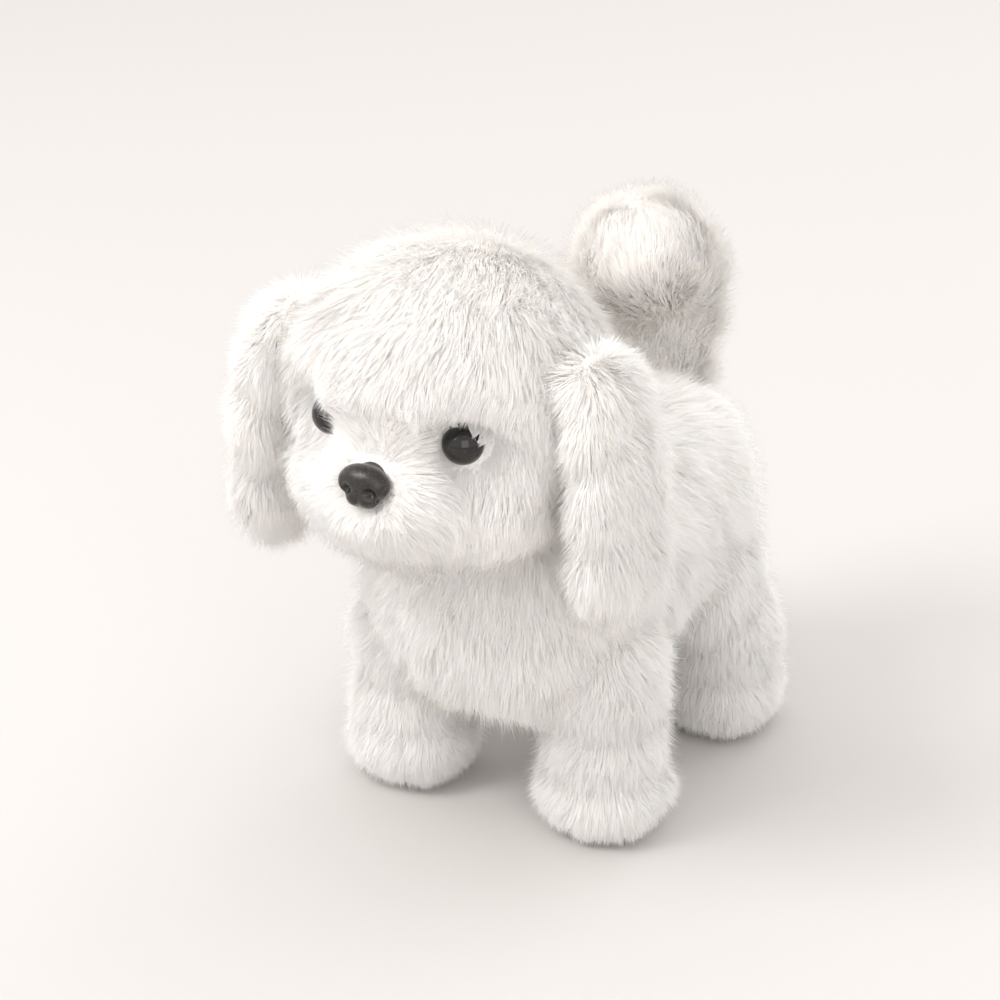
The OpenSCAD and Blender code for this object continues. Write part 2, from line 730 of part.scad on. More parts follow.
module nose() color("black") place() {
    difference() {
        for (s = [-1, 1]) {
            translate([s * 2.3, nose_y, nose_z + 1]) sphere(r = 4.3);
            translate([s * 1.3, nose_y + 0.5, nose_z - 2.3]) sphere(r = 3.4);
        }
        block([-20, nose_back, 90], [20, 0, 140]);
    }
    at(0, nose_z) along_y(4.5, nose_back - 2, snout_y);
    at(0, nose_z) along_y(1.6, snout_y - 1, snout_y + 3.6);
}

module face_washers() color("white") place() {
    for (s = [-1, 1]) towards_eye(s) difference() {
        along_z(4, core_r - 3.9, core_r - 2.5);
        along_z(1.6, 0, 40);
    }
    at(0, nose_z) difference() {
        along_y(3.6, snout_y + core_wall + 0.1, snout_y + core_wall + 1.4);
        along_y(1.6, snout_y, snout_y + 9);
    }
}

module head_plush() color("snow") place() difference() {
    union() {
        translate([0, head_y, head_z]) sphere(r = head_r);
        translate([0, muzzle_y, muzzle_z]) sphere(r = muzzle_r);
    }
    translate([0, core_y, core_z]) sphere(r = core_r);
    at(0, snout_z) along_y(snout_r, snout_y, core_y);
    // Wells where the pile is parted around the eyes and the nose
    for (s = [-1, 1]) towards_eye(s) along_z(7, core_r - 5, 70);
    at(0, nose_z) along_y(7.6, -100, snout_y + 1);
    // Neck opening
    slab_x(-14.8, 14.8) polygon([[-25, 106], [-6, 108], [10, 100], [10, 78], [-27, 78]]);
}

module ear_shape() translate([ear_x, ear_y, ear_z]) rotate([0, -ear_lean, 0]) {
    intersection() {
        slab_x(2.2, 2.2 + ear_t) soft_rect([-16.5, -ear_length], [16.5, 4], 15);
        rotate([90, 0, 0]) translate([0, 0, -20]) linear_extrude(40)
            soft_rect([2.2, -ear_length], [2.2 + ear_t, 4], ear_t / 2 - 0.1);
    }
    along_y(3.2, -12, 12);
}

module ear_left() color("snow") place() ear_shape();
module ear_right() color("snow") place() mirror([1, 0, 0]) ear_shape();

// ---------- body and tail ----------
module body_plush() color("snow") place() difference() {
    intersection() {
        slab_x(-body_half, body_half) soft_rect([body_front, body_bottom], [body_rear, body_top], 24);
        rotate([90, 0, 0]) translate([0, 0, -100]) linear_extrude(140)
            soft_rect([-body_half, body_bottom], [body_half, body_top], flank_r);
        translate([0, 0, 20]) linear_extrude(100)
            soft_rect([-body_half, body_front], [body_half, body_rear], 20);
    }
    // Room for the chassis, the leg arms and the padding
    slab_x(-29.4, 29.4) intersection() {
        casing_profile(0.4);
        translate([-60, 47.6]) square([200, 60]);
    }
    block([-belly_half - 0.2, belly_front - 0.3, 20], [belly_half + 0.2, belly_rear + 0.3, 60]);
    block([-17.2, 5.8, 80], [17.2, 64.2, 96.3]);
    // Leg openings
    for (s = [-1, 1], r = [[-18.6, 19.6], [48, 120]]) handed(s) block([16.5, r.x, 20], [60, r.y, 47.8]);
    // Hollow under the head, for its whole nod, and the neck opening
    for (a = [-8.5, 0, 8.5]) translate([0, nod_y, nod_z]) rotate([a, 0, 0])
        translate([0, head_y - nod_y, head_z - nod_z]) sphere(r = head_r + 1.5);
    block([-15, -30, 83], [15, 3, 120]);
    // Notch for the tail lever
    block([-11.5, 65, 82], [11.5, 100, 120]);
}

module back_padding() color("oldlace") place()
    translate([0, 0, case_top]) linear_extrude(6) soft_rect([-17, 6], [17, 64], 8);

module tail_arm(w) {
    bar([tail_y, tail_z], [tail_y, 96], w);
    bar([tail_y, 96], [88, 107], w);
    bar([88, 107], [85, 136], w);
}

module tail_lever() color("white") place() difference() {
    union() {
        slab_x(-2, 2) tail_arm(tail_gap);
        at(0, tail_z) along_y(4, 69.3, 73.7);
    }
    at(0, tail_z) along_y(rod_r + run, 60, 90);
}

module tail_plush() color("snow") place() difference() {
    union() {
        rod(tail_line[0], tail_line[1], tail_root_r);
        translate(tail_line[2]) sphere(r = tail_r);
        rod(tail_line[3], tail_line[4], tail_tip_r);
    }
    slab_x(-2, 2) tail_arm(tail_gap);
}

belly_housing();
chassis_left_shell();
chassis_right_shell();
case_screws();
gearbox_plate();
gear_axles();
motor();
motor_strap();
batteries();
battery_contacts();
circuit_board();
speaker();
slide_switch();
wiring();
hip_axles();
axle_caps();
neck_post();
neck_pin();
tail_pin();
tail_spring();
body_plush();
back_padding();
battery_door();
door_screw();
switch_knob();
crank_axle();
crank_left();
crank_right();
crank_gear();
nod_cam();
gear_two();
gear_one();
motor_pinion();
front_left_leg();
front_right_leg();
rear_left_leg();
rear_right_leg();
front_left_sole();
front_right_sole();
rear_left_sole();
rear_right_sole();
front_left_paw();
front_right_paw();
rear_left_paw();
rear_right_paw();
left_link();
right_link();
head_core_front();
head_core_rear();
head_screws();
nod_lever();
head_plush();
eyes();
nose();
face_washers();
ear_left();
ear_right();
tail_lever();
tail_plush();
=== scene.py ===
"""Looks of the walking plush puppy: pile, skins, face and moulded parts, in metres in the CAD frame."""
import math

import bpy
import numpy as np
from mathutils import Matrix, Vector
from mathutils.kdtree import KDTree
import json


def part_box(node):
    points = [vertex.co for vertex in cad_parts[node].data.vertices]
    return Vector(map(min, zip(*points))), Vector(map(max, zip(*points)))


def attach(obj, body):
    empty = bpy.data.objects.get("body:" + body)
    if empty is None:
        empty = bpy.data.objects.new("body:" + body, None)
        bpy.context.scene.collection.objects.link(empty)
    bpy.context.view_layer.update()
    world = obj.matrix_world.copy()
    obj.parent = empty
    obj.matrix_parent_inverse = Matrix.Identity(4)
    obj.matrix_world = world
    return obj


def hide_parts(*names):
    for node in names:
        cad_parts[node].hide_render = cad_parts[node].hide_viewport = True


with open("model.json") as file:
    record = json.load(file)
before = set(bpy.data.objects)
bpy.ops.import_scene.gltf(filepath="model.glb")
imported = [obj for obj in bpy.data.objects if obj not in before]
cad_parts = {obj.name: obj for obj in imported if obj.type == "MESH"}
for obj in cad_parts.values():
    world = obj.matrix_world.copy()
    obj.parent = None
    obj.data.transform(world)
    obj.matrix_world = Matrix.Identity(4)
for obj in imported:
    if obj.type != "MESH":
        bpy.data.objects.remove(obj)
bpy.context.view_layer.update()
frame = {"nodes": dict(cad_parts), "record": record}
RNG = np.random.default_rng(20)
MM = 0.001


# ---------- places taken from the CAD frame, in millimetres ----------
def mid(node):
    lo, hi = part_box(node)
    return np.array((lo + hi) / 2) / MM


FRONT = mid("front_left_sole")[1]
TRACK = mid("front_left_sole")[0]
REAR = mid("rear_left_sole")[1]
NOSE = mid("nose") + (0, -2.5, 0)
BEAD_R = 5.2
EYE_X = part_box("eyes")[1].x / MM - BEAD_R
EYE = {side: mid("eyes") + (side * EYE_X, 1.0, 0) for side in (-1, 1)}
HEAD = np.array((0, FRONT - 29, mid("head_core_front")[2] + 3))
HEAD_BACK = HEAD + (0, 2, -3)
EAR_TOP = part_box("ear_left")[1].z / MM
TAIL_BACK, TAIL_TOP = np.array(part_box("tail_plush")[1])[1:] / MM


# ---------- camera, light and floor ----------
AZIMUTH = math.radians(30.5)
ELEVATION = math.radians(24.0)
DISTANCE = 0.782
LENS = 108
SENSOR = 36


def camera():
    target = Vector((0, (FRONT - 4.5) * MM, 0.0895))
    level = math.cos(ELEVATION)
    away = Vector((math.sin(AZIMUTH) * level, -math.cos(AZIMUTH) * level, math.sin(ELEVATION)))
    data = bpy.data.cameras.new("camera")
    data.lens = LENS
    data.sensor_width = SENSOR
    cam = bpy.data.objects.new("camera", data)
    cam.location = target + DISTANCE * away
    cam.rotation_euler = (-away).to_track_quat("-Z", "Y").to_euler()
    bpy.context.scene.collection.objects.link(cam)
    bpy.context.scene.camera = cam


def area_light(name, place, size, watts, colour, aim=(0, 0, 0.08)):
    data = bpy.data.lights.new(name, "AREA")
    data.size = size
    data.energy = watts
    data.color = colour
    lamp = bpy.data.objects.new(name, data)
    lamp.location = place
    lamp.rotation_euler = (Vector(aim) - Vector(place)).to_track_quat("-Z", "Y").to_euler()
    bpy.context.scene.collection.objects.link(lamp)


def studio():
    world = bpy.data.worlds.new("studio")
    bpy.context.scene.world = world
    world.use_nodes = True
    back = world.node_tree.nodes["Background"]
    back.inputs["Color"].default_value = (1.0, 0.985, 0.97, 1)
    back.inputs["Strength"].default_value = 1.22
    area_light("key", (-0.55, -0.8, 1.1), 0.6, 11.5, (1.0, 0.985, 0.965))
    area_light("fill", (0.9, -1.0, 0.6), 0.9, 4.0, (1.0, 0.95, 0.91))
    area_light("rim", (0.3, 1.0, 0.9), 0.8, 3.4, (1.0, 0.99, 0.98))
    bpy.ops.mesh.primitive_plane_add(size=12, location=(0, 0, 0))
    floor = bpy.context.object
    floor.name = "floor"
    floor.data.materials.append(flat("floor_pale", (0.56, 0.54, 0.53), 0.7))
    scene = bpy.context.scene
    scene.view_settings.view_transform = "Standard"
    scene.view_settings.look = "None"
    scene.cycles.max_bounces = 14
    scene.cycles.diffuse_bounces = 10


# ---------- materials ----------
def principled(name):
    """A new material, its node tree and its Principled node."""
    mat = bpy.data.materials.new(name)
    mat.use_nodes = True
    return mat, mat.node_tree, mat.node_tree.nodes["Principled BSDF"]


def flat(name, colour, rough, **more):
    """One colour all over; more names other Principled sockets, with _ for each space."""
    mat, _, bsdf = principled(name)
    bsdf.inputs["Base Color"].default_value = (*colour, 1)
    bsdf.inputs["Roughness"].default_value = rough
    for key, value in more.items():
        bsdf.inputs[key.replace("_", " ")].default_value = value
    return mat


def grained(name, colour, second, scale, rough, bump, metallic=0.0, spread=0.08, stretch=(1, 1, 1),
            coat=0.0):
    """A surface with two close colours, uneven roughness and a fine relief, all from object-space noise."""
    mat, tree, bsdf = principled(name)
    new, link = tree.nodes.new, tree.links.new
    coord = new("ShaderNodeTexCoord")
    mapping = new("ShaderNodeMapping")
    mapping.inputs["Scale"].default_value = [scale * s for s in stretch]
    link(coord.outputs["Object"], mapping.inputs["Vector"])
    noise = new("ShaderNodeTexNoise")
    noise.inputs["Scale"].default_value = 1.0
    noise.inputs["Detail"].default_value = 6
    noise.inputs["Roughness"].default_value = 0.6
    link(mapping.outputs["Vector"], noise.inputs["Vector"])
    ramp = new("ShaderNodeValToRGB")
    ramp.color_ramp.elements[0].position = 0.35
    ramp.color_ramp.elements[1].position = 0.65
    ramp.color_ramp.elements[0].color = (*colour, 1)
    ramp.color_ramp.elements[1].color = (*second, 1)
    link(noise.outputs["Fac"], ramp.inputs["Fac"])
    link(ramp.outputs["Color"], bsdf.inputs["Base Color"])
    span = new("ShaderNodeMapRange")
    span.inputs["To Min"].default_value = max(0.03, rough - spread)
    span.inputs["To Max"].default_value = rough + spread
    link(noise.outputs["Fac"], span.inputs["Value"])
    link(span.outputs["Result"], bsdf.inputs["Roughness"])
    relief = new("ShaderNodeBump")
    relief.inputs["Strength"].default_value = bump
    relief.inputs["Distance"].default_value = 0.0002
    fine = new("ShaderNodeTexNoise")
    fine.inputs["Scale"].default_value = 6.0
    fine.inputs["Detail"].default_value = 3
    link(mapping.outputs["Vector"], fine.inputs["Vector"])
    link(fine.outputs["Fac"], relief.inputs["Height"])
    link(relief.outputs["Normal"], bsdf.inputs["Normal"])
    bsdf.inputs["Metallic"].default_value = metallic
    bsdf.inputs["Coat Weight"].default_value = coat
    return mat


def knit(name, colour, second):
    """Knitted backing of the plush: rows of tiny loops."""
    mat, tree, bsdf = principled(name)
    new, link = tree.nodes.new, tree.links.new
    coord = new("ShaderNodeTexCoord")
    cells = new("ShaderNodeTexVoronoi")
    cells.inputs["Scale"].default_value = 900
    link(coord.outputs["Object"], cells.inputs["Vector"])
    patches = new("ShaderNodeTexNoise")
    patches.inputs["Scale"].default_value = 60
    link(coord.outputs["Object"], patches.inputs["Vector"])
    ramp = new("ShaderNodeValToRGB")
    ramp.color_ramp.elements[0].color = (*colour, 1)
    ramp.color_ramp.elements[1].color = (*second, 1)
    link(patches.outputs["Fac"], ramp.inputs["Fac"])
    link(ramp.outputs["Color"], bsdf.inputs["Base Color"])
    relief = new("ShaderNodeBump")
    relief.inputs["Strength"].default_value = 0.6
    relief.inputs["Distance"].default_value = 0.0004
    link(cells.outputs["Distance"], relief.inputs["Height"])
    link(relief.outputs["Normal"], bsdf.inputs["Normal"])
    bsdf.inputs["Roughness"].default_value = 0.95
    bsdf.inputs["Sheen Weight"].default_value = 0.3
    return mat


def pile_material(name, colour):
    """Soft white fibre: light spreads a little way from strand to strand."""
    mat = flat(name, colour, 0.85, Specular_IOR_Level=0.2, Subsurface_Weight=0.6, Subsurface_Scale=0.0024)
    mat.node_tree.nodes["Principled BSDF"].inputs["Subsurface Radius"].default_value = (1.0, 0.92, 0.84)
    return mat


PLUSH = [
    pile_material("pile_white", (0.99, 0.982, 0.972)),
    pile_material("pile_cream", (0.985, 0.952, 0.918)),
    pile_material("pile_shade", (0.97, 0.928, 0.89)),
]
BACKING = knit("backing", (0.93, 0.91, 0.89), (0.96, 0.945, 0.93))

BY_SLOT = {
    "padding": lambda: knit("filling", (0.86, 0.84, 0.80), (0.93, 0.91, 0.88)),
    "bead_black": lambda: grained("bead_black", (0.006, 0.005, 0.005), (0.012, 0.009, 0.008), 260, 0.07,
                                  0.02, spread=0.03),
    "nose_black": lambda: grained("nose_black", (0.009, 0.008, 0.007), (0.024, 0.019, 0.017), 900, 0.26, 0.3,
                                  spread=0.08),
    "case_plastic": lambda: grained("case_plastic", (0.80, 0.79, 0.77), (0.84, 0.835, 0.82), 700, 0.45, 0.3),
    "gear_plastic": lambda: grained("gear_plastic", (0.82, 0.78, 0.66), (0.87, 0.84, 0.74), 500, 0.38, 0.15),
    "steel": lambda: grained("steel", (0.56, 0.56, 0.57), (0.66, 0.66, 0.66), 900, 0.3, 0.25, metallic=1.0,
                             stretch=(0.1, 1, 1)),
    "motor_can": lambda: grained("motor_can", (0.55, 0.56, 0.57), (0.70, 0.70, 0.69), 400, 0.32, 0.25,
                                 metallic=1.0, stretch=(0.15, 1, 1)),
    "pinion_brass": lambda: grained("pinion_brass", (0.70, 0.52, 0.22), (0.80, 0.64, 0.32), 900, 0.28, 0.2,
                                    metallic=1.0),
    "contact_plate": lambda: grained("contact_plate", (0.66, 0.64, 0.60), (0.78, 0.76, 0.72), 600, 0.25,
                                     0.15, metallic=1.0),
    "cell_wrap": lambda: grained("cell_wrap", (0.05, 0.05, 0.055), (0.12, 0.10, 0.08), 90, 0.3, 0.1,
                                 coat=0.3),
    "board_green": lambda: grained("board_green", (0.02, 0.16, 0.06), (0.05, 0.26, 0.11), 500, 0.35, 0.3),
    "black_plastic": lambda: grained("black_plastic", (0.02, 0.02, 0.02), (0.045, 0.044, 0.043), 700, 0.5,
                                     0.4),
    "wire_red": lambda: grained("wire_red", (0.42, 0.02, 0.02), (0.55, 0.05, 0.03), 300, 0.35, 0.1),
    "sole_rubber": lambda: grained("sole_rubber", (0.10, 0.10, 0.10), (0.17, 0.165, 0.16), 600, 0.75, 0.6),
}


def dress_cad():
    """Gives each carried-over CAD node the material of its slot."""
    made = {}
    for part in frame["record"]["subparts"]:
        node = frame["nodes"][part["node"]]
        slot = part["material_slot"]
        if slot not in BY_SLOT:
            continue
        if slot not in made:
            made[slot] = BY_SLOT[slot]()
        node.data.materials.clear()
        node.data.materials.append(made[slot])


# ---------- skins: soft closed forms that the pile grows on ----------
def lump(centre, radii, power=2.0, tilt=0.0, step=24):
    """Vertices and quads of a rounded lump in millimetres; tilt turns it about X, in degrees."""
    rows, cols = step, 2 * step
    lat = np.linspace(0, math.pi, rows + 1)[1:-1]
    lon = np.linspace(0, 2 * math.pi, cols, endpoint=False)
    pts = [(0, 0, 1)]
    for a in lat:
        for b in lon:
            pts.append((math.sin(a) * math.cos(b), math.sin(a) * math.sin(b), math.cos(a)))
    pts.append((0, 0, -1))
    pts = np.array(pts)
    pts /= (np.abs(pts) ** power).sum(1)[:, None] ** (1 / power)
    pts = pts * np.array(radii)
    if tilt:
        c, s = math.cos(math.radians(tilt)), math.sin(math.radians(tilt))
        pts = pts @ np.array(((1, 0, 0), (0, c, s), (0, -s, c)))
    pts = pts + np.array(centre)
    faces = []
    for j in range(cols):
        k = (j + 1) % cols
        faces.append((0, 1 + j, 1 + k))
        for i in range(rows - 2):
            a = 1 + i * cols
            faces.append((a + j, a + cols + j, a + cols + k, a + k))
        a = 1 + (rows - 2) * cols
        faces.append((a + j, len(pts) - 1, a + k))
    return pts, faces


def skin(name, lumps, voxel=1.6, smooth=8):
    """Joins lumps into one smooth closed surface and returns its object."""
    verts, faces, n = [], [], 0
    for pts, fs in lumps:
        verts.append(pts)
        faces += [tuple(i + n for i in f) for f in fs]
        n += len(pts)
    mesh = bpy.data.meshes.new(name)
    mesh.from_pydata((np.vstack(verts) * MM).tolist(), [], faces)
    obj = bpy.data.objects.new(name, mesh)
    bpy.context.scene.collection.objects.link(obj)
    re = obj.modifiers.new("remesh", "REMESH")
    re.mode = "VOXEL"
    re.voxel_size = voxel * MM
    sm = obj.modifiers.new("smooth", "SMOOTH")
    sm.factor = 0.6
    sm.iterations = smooth
    graph = bpy.context.evaluated_depsgraph_get()
    done = bpy.data.meshes.new_from_object(obj.evaluated_get(graph))
    obj.modifiers.clear()
    obj.data = done
    done.name = name
    done.materials.clear()
    done.materials.append(BACKING)
    for p in done.polygons:
        p.use_smooth = True
    return obj


def coords(obj):
    """The vertices of an object, in millimetres."""
    co = np.empty(len(obj.data.vertices) * 3)
    obj.data.vertices.foreach_get("co", co)
    return co.reshape(-1, 3) / MM


def reshape(obj, move):
    """Moves every vertex of a skin by a function of its place, in millimetres."""
    obj.data.vertices.foreach_set("co", (move(coords(obj)) * MM).ravel())
    obj.data.update()


# ---------- pile ----------
# directions and shifts of the sine waves that make drift
WAVES = RNG.normal(size=(3, 10, 3))
SHIFTS = RNG.uniform(0, 2 * math.pi, size=(3, 10))


def drift(p, size):
    """A smooth random vector at each place, about size millimetres from one swell to the next."""
    out = np.empty_like(p)
    for axis in range(3):
        out[:, axis] = np.sin(p @ WAVES[axis].T * (2.2 / size) + SHIFTS[axis]).sum(1) / 3.2
    return out


def unit(v):
    return v / np.maximum(np.linalg.norm(v, axis=-1, keepdims=True), 1e-9)


def roots(obj, count, rng):
    """Random places on a skin, evenly by area, with their normals."""
    mesh = obj.data
    mesh.calc_loop_triangles()
    tri = np.empty(len(mesh.loop_triangles) * 3, np.int32)
    mesh.loop_triangles.foreach_get("vertices", tri)
    tri = tri.reshape(-1, 3)
    co = coords(obj)
    nor = np.empty(len(mesh.vertices) * 3)
    mesh.vertices.foreach_get("normal", nor)
    nor = nor.reshape(-1, 3)
    a, b, c = co[tri[:, 0]], co[tri[:, 1]], co[tri[:, 2]]
    area = np.linalg.norm(np.cross(b - a, c - a), axis=1)
    pick = rng.choice(len(tri), count, p=area / area.sum())
    u, v = rng.random(count), rng.random(count)
    flip = u + v > 1
    u[flip], v[flip] = 1 - u[flip], 1 - v[flip]
    w = 1 - u - v
    place = a[pick] * w[:, None] + b[pick] * u[:, None] + c[pick] * v[:, None]
    normal = nor[tri[pick, 0]] * w[:, None] + nor[tri[pick, 1]] * u[:, None] + nor[tri[pick, 2]] * v[:, None]
    return place, unit(normal)


FUZZ_SHARE = 0.16
TUFT = 0.3
TUFT_STRANDS = 14
STRAND_LIMIT = 65000


def pile(name, body, base, count, comb, length, lie, width=0.19, keep=None, mix=(0.74, 0.2), floor=None):
    """Grows strands on a skin. comb and length are functions of place and normal.

    lie is the lean in radians, mix the shares of the first two tints, floor the lowest height of a strand.
    """
    rng = np.random.default_rng(sum(map(ord, name)))
    place, normal = roots(base, count, rng)
    if keep is not None:
        good = keep(place, normal)
        place, normal = place[good], normal[good]
    n = len(place)
    flow = comb(place, normal)
    flow = unit(flow - (flow * normal).sum(1)[:, None] * normal)
    size = (length(place, normal) * rng.uniform(0.72, 1.12, n))[:, None]
    lean = np.clip(lie + 0.08 * drift(place, 11)[:, 0] + rng.normal(0, 0.1, n), 0.05, 1.45)[:, None]
    # a few thin strands stand up from the coat
    fuzz = rng.random(n) < FUZZ_SHARE
    lean[fuzz] *= 0.5
    wild = 0.17 * drift(place, 8.0) + rng.normal(0, 0.09, (n, 3))
    first = unit(normal * np.cos(0.8 * lean) + flow * np.sin(0.8 * lean) + 0.6 * wild)
    last = unit(normal * np.cos(1.12 * lean) + flow * np.sin(1.12 * lean) + 1.2 * wild)
    path = np.empty((n, 3, 3))
    path[:, 0] = place - 0.5 * normal
    path[:, 1] = path[:, 0] + 0.48 * size * first
    path[:, 2] = path[:, 1] + 0.52 * size * last
    # strands lean together into small tufts
    heads = rng.choice(n, max(1, n // TUFT_STRANDS), replace=False)
    tree = KDTree(len(heads))
    for i, h in enumerate(heads):
        tree.insert(place[h], i)
    tree.balance()
    leader = heads[np.array([tree.find(p)[1] for p in place])]
    pull = TUFT * rng.uniform(0.5, 1.4, n)
    pull[fuzz] *= 0.3
    for k, share in ((1, 0.4), (2, 1.0)):
        path[:, k] += np.clip(pull * share, 0, 0.95)[:, None] * (path[leader, k] - path[:, k])
    if floor is not None:
        path[:, :, 2] = np.maximum(path[:, :, 2], floor + rng.uniform(0, 0.8, (n, 1)))
    along = unit(path[:, 2] - path[:, 0])
    roll = rng.normal(0, 0.3, n)[:, None]
    face = unit(normal - (normal * along).sum(1)[:, None] * along)
    side = unit(np.cross(along, face))
    side = side * np.cos(roll) + face * np.sin(roll)
    half = 0.5 * width * rng.uniform(0.7, 1.3, n)[:, None]
    half[fuzz] *= 0.6
    verts = ribbons(path, side, half)
    shade = unit(0.8 * normal + 0.2 * face + rng.normal(0, 0.06, (n, 3)))
    luck = rng.random(n)
    which = np.where(luck < mix[0], 0, np.where(luck < mix[0] + mix[1], 1, 2))
    order = np.argsort(place @ np.array((0.2, 0.3, 1.0)))
    parts = np.array_split(order, -(-n // STRAND_LIMIT))
    for i, part in enumerate(parts):
        strands(name if len(parts) == 1 else f"{name}_{i + 1}", body, verts[part], shade[part], which[part])


def ribbons(path, side, half):
    """Five corners for each strand: two at the root, two at the middle and the tip."""
    verts = np.empty((len(path), 5, 3))
    for k, taper in ((0, 1.0), (1, 0.85)):
        verts[:, 2 * k] = path[:, k] - half * taper * side
        verts[:, 2 * k + 1] = path[:, k] + half * taper * side
    verts[:, 4] = path[:, 2]
    return verts


def strands(name, body, verts, shade, which):
    """One mesh of strands, each a quad and a tip triangle, with the shading normals of the skin below."""
    n = len(verts)
    mesh = bpy.data.meshes.new(name)
    mesh.vertices.add(5 * n)
    mesh.vertices.foreach_set("co", (verts * MM).ravel())
    loops = (np.array((0, 1, 3, 2, 2, 3, 4))[None] + 5 * np.arange(n)[:, None]).ravel()
    mesh.loops.add(len(loops))
    mesh.loops.foreach_set("vertex_index", loops.astype(np.int32))
    starts = (np.array((0, 4))[None] + 7 * np.arange(n)[:, None]).ravel()
    mesh.polygons.add(2 * n)
    mesh.polygons.foreach_set("loop_start", starts.astype(np.int32))
    mesh.polygons.foreach_set("material_index", np.repeat(which, 2).astype(np.int32))
    mesh.polygons.foreach_set("use_smooth", np.ones(2 * n, bool))
    for mat in PLUSH:
        mesh.materials.append(mat)
    mesh.update(calc_edges=True)
    mesh.normals_split_custom_set_from_vertices(np.repeat(shade, 5, axis=0).tolist())
    obj = bpy.data.objects.new(name, mesh)
    bpy.context.scene.collection.objects.link(obj)
    hold(obj, body)


def hold(obj, body, *nodes):
    """The piece rides on the body; a stuffed skin also stands for its CAD nodes."""
    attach(obj, body)
    if nodes:
        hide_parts(*nodes)


def near(p, centre, reach):
    """1 at the centre, falling smoothly to 0 at reach."""
    d = np.linalg.norm(p - centre, axis=1) / reach
    t = np.clip(1 - d, 0, 1)
    return t * t * (3 - 2 * t)


# ---------- head ----------
def head():
    y = HEAD[1]
    lumps = [
        lump(HEAD + (0, 0.5, -0.5), (39.4, 38, 36.8)),
        lump((0, y - 9, HEAD[2] - 18), (35.0, 24, 20.5)),
        lump((0, y - 25, HEAD[2] - 16), (24.2, 16.0, 15.8)),
        lump((0, y - 20, HEAD[2] - 12), (15, 14, 13)),
    ]
    base = skin("head_skin", lumps, smooth=12)

    def dent(p):
        p = p.copy()
        for eye in EYE.values():
            out = unit(eye - HEAD_BACK)
            depth = (p - eye) @ out + 1.6
            amount = near(p, eye, 20)
            p -= (np.clip(depth, 0, 12) * np.clip(amount * 1.6, 0, 1))[:, None] * out
        # low bridge between the eyes
        bridge = near(p, (EYE[1] + EYE[-1]) / 2 + (0, -6, -1), 20)
        p[:, 1] += 5.0 * bridge
        # flat seat round the nose
        seat = near(p, NOSE, 11)
        p[:, 1] += np.clip((NOSE[1] + 5.0 - p[:, 1]), 0, 9) * np.clip(seat * 1.5, 0, 1)
        return p

    reshape(base, dent)
    hold(base, "head", "head_plush")
    crown = HEAD + (0, 24, 34)
    bridge = NOSE + (0, 4, 0)

    def comb(p, n):
        # back from the crown, out from the nose on the muzzle, and away from each eye
        w = np.clip(1.7 * near(p, NOSE, 34), 0, 1)[:, None]
        flow = unit(p - crown) * (1 - w) + unit(p - bridge) * w
        for eye in EYE.values():
            k = near(p, eye, 13)[:, None]
            flow = flow * (1 - k) + unit(p - eye) * k
        return flow + (0, 0, -0.12)

    def length(p, n):
        size = 10.5 - 4.5 * near(p, NOSE, 36) - 2.0 * near(p, NOSE, 12)
        for eye in EYE.values():
            size -= 9.0 * near(p, eye, 18)
        return np.clip(size, 3.0, 15)

    def keep(p, n):
        good = np.ones(len(p), bool)
        for eye in EYE.values():
            good &= np.linalg.norm(p - eye, axis=1) > 6.0
        good &= np.linalg.norm((p - NOSE) * (1, 0.5, 1.1), axis=1) > 5.9
        # no pile in the neck opening
        good &= ~((np.abs(p[:, 0]) < 13) & (p[:, 1] > y + 4) & (p[:, 2] < HEAD[2] - 24))
        return good

    front = lambda p, n: keep(p, n) & (p[:, 1] < y - 6)
    back = lambda p, n: keep(p, n) & (p[:, 1] >= y - 6)
    pile("pile_face", "head", base, 190000, comb, length, lie=1.26, keep=front, width=0.17)
    pile("pile_head_back", "head", base, 150000, comb, length, lie=1.34, keep=back)
    lashes(1, "left")
    lashes(-1, "right")


def lashes(side, label, count=520, tufts=15):
    """Strands that fall from the brow over the top of an eye bead."""
    rng = np.random.default_rng(31 + side)
    eye = EYE[side]
    out = unit(eye - HEAD_BACK)
    across = unit(np.cross(out, (0, 0, 1)))
    up = np.cross(across, out)
    pick = rng.integers(0, tufts, count)
    angle = (rng.uniform(-1.2, 1.2, tufts)[pick] + rng.normal(0, 0.05, count))[:, None]
    turn = rng.normal(0, 0.35, tufts)[pick][:, None]
    reach = (rng.uniform(0.1, 1.0, tufts)[pick] * rng.uniform(0.8, 1.0, count))[:, None]
    spoke = np.sin(angle) * across + np.cos(angle) * up
    bent = np.sin(angle + turn) * across + np.cos(angle + turn) * up
    path = np.stack((eye + 6.9 * spoke + 0.4 * out, eye + 4.7 * spoke + 4.5 * out,
                     eye + (3.6 - 3.4 * reach) * bent + 5.9 * out), 1)
    path[:, 1:] += rng.normal(0, 0.12, (count, 2, 3))
    outward = unit(path[:, 1] - eye)
    sideways = unit(np.cross(path[:, 2] - path[:, 0], outward))
    half = 0.085 * rng.uniform(0.7, 1.3, count)[:, None]
    strands(f"lashes_{label}", "head", ribbons(path, sideways, half), outward, np.zeros(count, int))


